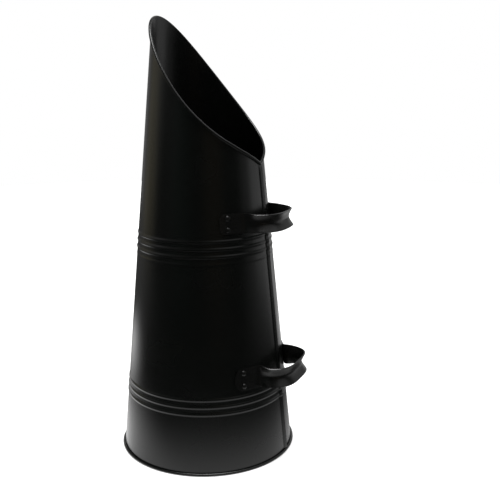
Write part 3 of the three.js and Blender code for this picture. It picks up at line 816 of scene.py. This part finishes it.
# %% The rivet tree
RIVET_SEED = 7
rivet_tree = new_tree("rivet_row", {"Smallest": 0.97, "Largest": 1.0}, takes=GEOMETRY)
given = add_node(rivet_tree, "NodeGroupInput").outputs
pattern = add_node(rivet_tree, "GeometryNodeObjectInfo", {"Object": one_rivet})
axis = add_node(rivet_tree, "GeometryNodeInputNamedAttribute", {"Name": "axis"},
                data_type="FLOAT_VECTOR")
stand = add_node(rivet_tree, "FunctionNodeAlignRotationToVector", {"Vector": axis}, axis="Z")
size = add_node(rivet_tree, "FunctionNodeRandomValue", {2: given["Smallest"], 3: given["Largest"],
                                                        "Seed": RIVET_SEED}, data_type="FLOAT")
copies = add_node(rivet_tree, "GeometryNodeInstanceOnPoints", {
    "Points": given["Geometry"], "Instance": pattern.outputs["Geometry"], "Rotation": stand,
    "Scale": size.outputs["Value"]})
end_tree(rivet_tree, copies, strap_enamel)

# %% Set the rivets
for name, handle in HANDLES.items():
    plan, seat = strap_plan(handle)
    end_angle = math.atan2(plan[0].y, plan[0].x) + handle["inset"] / wall_radius(handle["height"])
    points, axes = [], []
    for side_sign in (1, -1):
        for lift_sign in (1, -1):
            angle = side_sign * end_angle
            z = handle["height"] + lift_sign * handle["pitch"] / 2
            outward = Vector((math.cos(angle), math.sin(angle), 0))
            points.append((outward * wall_radius(z) + Vector((0, 0, z))) * MM + AXIS)
            axes.append((outward + Vector((0, 0, TAPER))).normalized())
    dots = bpy.data.meshes.new(name + "_rivets")
    dots.from_pydata(points, [], [])
    stored = dots.attributes.new("axis", "FLOAT_VECTOR", "POINT")
    stored.data.foreach_set("vector", [value for axis_vector in axes for value in axis_vector])
    rivets = bake(run_tree(name + "_rivets", rivet_tree, {}, dots))
    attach(rivets, "root")
    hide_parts(*(name + "_rivet_%d" % (i + 1) for i in range(4)))
bpy.data.objects.remove(one_rivet)
print("8 rivets set")

# %% [markdown]
# ## Camera
# The photograph was taken from some 200 mm above the scuttle's middle, looking down 13 degrees, with
# the seam turned 63 degrees to the right. The camera's place and aim were worked out from the body's
# outline, ribs and rivets in the photograph, and so was its focal length, in pixels of a picture 500
# pixels wide.

# %% Camera
CAMERA_PLACE = Vector((430.7, -850.9, 464.65)) * MM + AXIS
CAMERA_HEADING = math.radians(23.514)
CAMERA_DROP = math.radians(12.816)
CAMERA_ROLL = math.radians(-0.3007)
FOCAL_PIXELS = 787.95
PHOTO_PIXELS = 500
SENSOR_WIDTH = 36.0
camera_data = bpy.data.cameras.new("photo_camera")
camera_data.sensor_width = SENSOR_WIDTH
camera_data.lens = FOCAL_PIXELS / PHOTO_PIXELS * SENSOR_WIDTH
camera = add_object("photo_camera", camera_data)
camera.matrix_world = (Matrix.Translation(CAMERA_PLACE)
                       @ Matrix.Rotation(CAMERA_HEADING, 4, "Z")
                       @ Matrix.Rotation(math.pi / 2 - CAMERA_DROP, 4, "X")
                       @ Matrix.Rotation(CAMERA_ROLL, 4, "Z"))
bpy.context.scene.camera = camera
bpy.context.scene.view_settings.view_transform = "Standard"
print("camera lens %.1f mm, %.2f m from the scuttle" % (camera_data.lens, CAMERA_PLACE.length))

# %% [markdown]
# ## Light
# A black enamelled pot shows almost nothing but reflections, so its studio is drawn for glossy rays:
# a dark room with dim patches all round, the brightest of them straight ahead and three of them
# faintly tinted, and one strong lamp overhead. Each light is a round patch of sky, given by its
# bearing to the right of straight ahead, its height above the horizon, the half angles where its full
# part and its soft edge end, its strength and its tint. The strengths were tuned against the tones in
# the photograph. Rays that leave a matt surface see one even white sky instead, so that a colour
# renders about as it is written, and rays straight from the camera see plain white.

# %% Studio sky
SKY_LIGHTS = (
    (-140, -3, 8, 24, 0.03, "#b8ffe6"),
    (160, 10, 8, 24, 0.05, "#ffdca8"),
    (-120, 25, 12, 32, 0.08, "#ffffff"),
    (-80, 25, 12, 32, 0.28, "#ffffff"),
    (-67, -3, 8, 24, 0.25, "#fff2c4"),
    (-45, -3, 8, 24, 0.14, "#ffffff"),
    (-22, -3, 8, 24, 0.19, "#ffffff"),
    (0, 25, 12, 32, 0.71, "#ffffff"),
    (22, -3, 8, 24, 0.3, "#ffffff"),
    (40, 25, 12, 32, 0.22, "#ffffff"),
    (67, -3, 8, 24, 0.45, "#ffffff"),
    (90, -3, 8, 24, 0.16, "#ffffff"),
    (60, 55, 15, 40, 0.32, "#ffffff"),
    (120, 55, 15, 40, 0.45, "#ffffff"),
    (0, 90, 8, 20, 11.0, "#ffffff"))
EVEN_SKY = 0.8


def bearing_vector(bearing, rise=0):
    turn = math.radians(bearing) - CAMERA_HEADING
    level = math.cos(math.radians(rise))
    return Vector((math.sin(turn) * level, math.cos(turn) * level, math.sin(math.radians(rise))))


world = bpy.data.worlds.new("studio")
bpy.context.scene.world = world
world.use_nodes = True
tree = world.node_tree
tree.nodes.clear()
direction = add_node(tree, "ShaderNodeTexCoord").outputs["Generated"]
glow = (0, 0, 0)
for bearing, rise, full, soft, strength, tint in SKY_LIGHTS:
    facing = add_node(tree, VECTOR, {0: direction, 1: bearing_vector(bearing, rise)},
                      operation="DOT_PRODUCT")
    patch = add_node(tree, MAP, {"Value": facing.outputs["Value"], 1: math.cos(math.radians(soft)),
                                 2: math.cos(math.radians(full)), 3: 0.0, 4: strength},
                     interpolation_type="SMOOTHSTEP")
    glow = add_node(tree, VECTOR, {0: patch, 1: linear(tint)[:3], 2: glow}, operation="MULTIPLY_ADD")
ray = add_node(tree, "ShaderNodeLightPath").outputs
even = add_node(tree, "ShaderNodeMix", {"Factor": ray["Is Diffuse Ray"], 4: glow, 5: (EVEN_SKY,) * 3},
                data_type="VECTOR")
white = add_node(tree, "ShaderNodeMix", {"Factor": ray["Is Camera Ray"], 4: even.outputs[1],
                                         5: (1, 1, 1)}, data_type="VECTOR")
sky = add_node(tree, "ShaderNodeBackground", {"Color": white.outputs[1], "Strength": 1.0})
add_node(tree, "ShaderNodeOutputWorld", {"Surface": sky})
print("sky:", len(SKY_LIGHTS), "soft lights,", len(tree.nodes), "nodes")

# %% [markdown]
# ## Floor
# The pale floor is lit in pools: round the foot, at both sides, and beyond the scuttle. The enamel
# shows those pools along its lower half and under the strap's lips. So the floor, too, has a picture of
# its own for glossy rays: a sum of soft spots, each given by its place to the right of the scuttle and
# beyond it, its radius, all in metres, and its strength, tuned in the same way as the sky's. The camera
# sees the floor's own pale colour with the shadow on it, lifted by a little light of its own to the
# white of the sky.

# %% Floor
FLOOR_SPOTS = (
    (0.0, -0.05, 0.34, 1.0),
    (-0.18, 0.03, 0.23, 0.97),
    (0.23, 0.51, 0.42, 0.84),
    (-0.43, 0.31, 0.32, 1.55),
    (0.74, 0.82, 0.56, 0.5),
    (3.11, 3.19, 4.61, 1.52),
    (-1.61, 0.69, 1.73, 0.19))
FLOOR_RADIUS = 2.5
FLOOR_SIDES = 96
FLOOR_LIFT = 0.42
floor_material = bpy.data.materials.new("pale_floor")
floor_material.use_nodes = True
tree = floor_material.node_tree
tree.nodes.clear()
ray = add_node(tree, "ShaderNodeLightPath").outputs
place = add_node(tree, "ShaderNodeTexCoord").outputs["Object"]
pools = 0.0
for right, beyond, radius, strength in FLOOR_SPOTS:
    middle = bearing_vector(90) * right + bearing_vector(0) * beyond
    away = add_node(tree, VECTOR, {0: place, 1: middle}, operation="DISTANCE").outputs["Value"]
    spot = add_node(tree, MAP, {"Value": away, 1: 0.0, 2: radius, 3: strength, 4: 0.0},
                    interpolation_type="SMOOTHSTEP")
    pools = add_node(tree, MATH, {0: pools, 1: spot}, operation="ADD")
lift = add_node(tree, MATH, {0: ray["Is Camera Ray"], 1: FLOOR_LIFT}, operation="MULTIPLY")
matt = add_node(tree, "ShaderNodeBsdfDiffuse", {"Color": linear("#e6e6e6")})
lifted = add_node(tree, "ShaderNodeEmission", {"Strength": lift})
seen = add_node(tree, "ShaderNodeAddShader", {0: matt, 1: lifted})
reflected = add_node(tree, "ShaderNodeEmission", {"Strength": pools})
surface = add_node(tree, "ShaderNodeMixShader", {0: ray["Is Glossy Ray"], 1: seen, 2: reflected})
add_node(tree, "ShaderNodeOutputMaterial", {"Surface": surface})
shape = bmesh.new()
bmesh.ops.create_circle(shape, cap_ends=True, segments=FLOOR_SIDES, radius=FLOOR_RADIUS)
floor_mesh = bpy.data.meshes.new("floor")
shape.to_mesh(floor_mesh)
shape.free()
floor_mesh.materials.append(floor_material)
floor = add_object("floor", floor_mesh)
print("floor: a disc", 2 * FLOOR_RADIUS, "m across with", len(FLOOR_SPOTS), "pools of light")
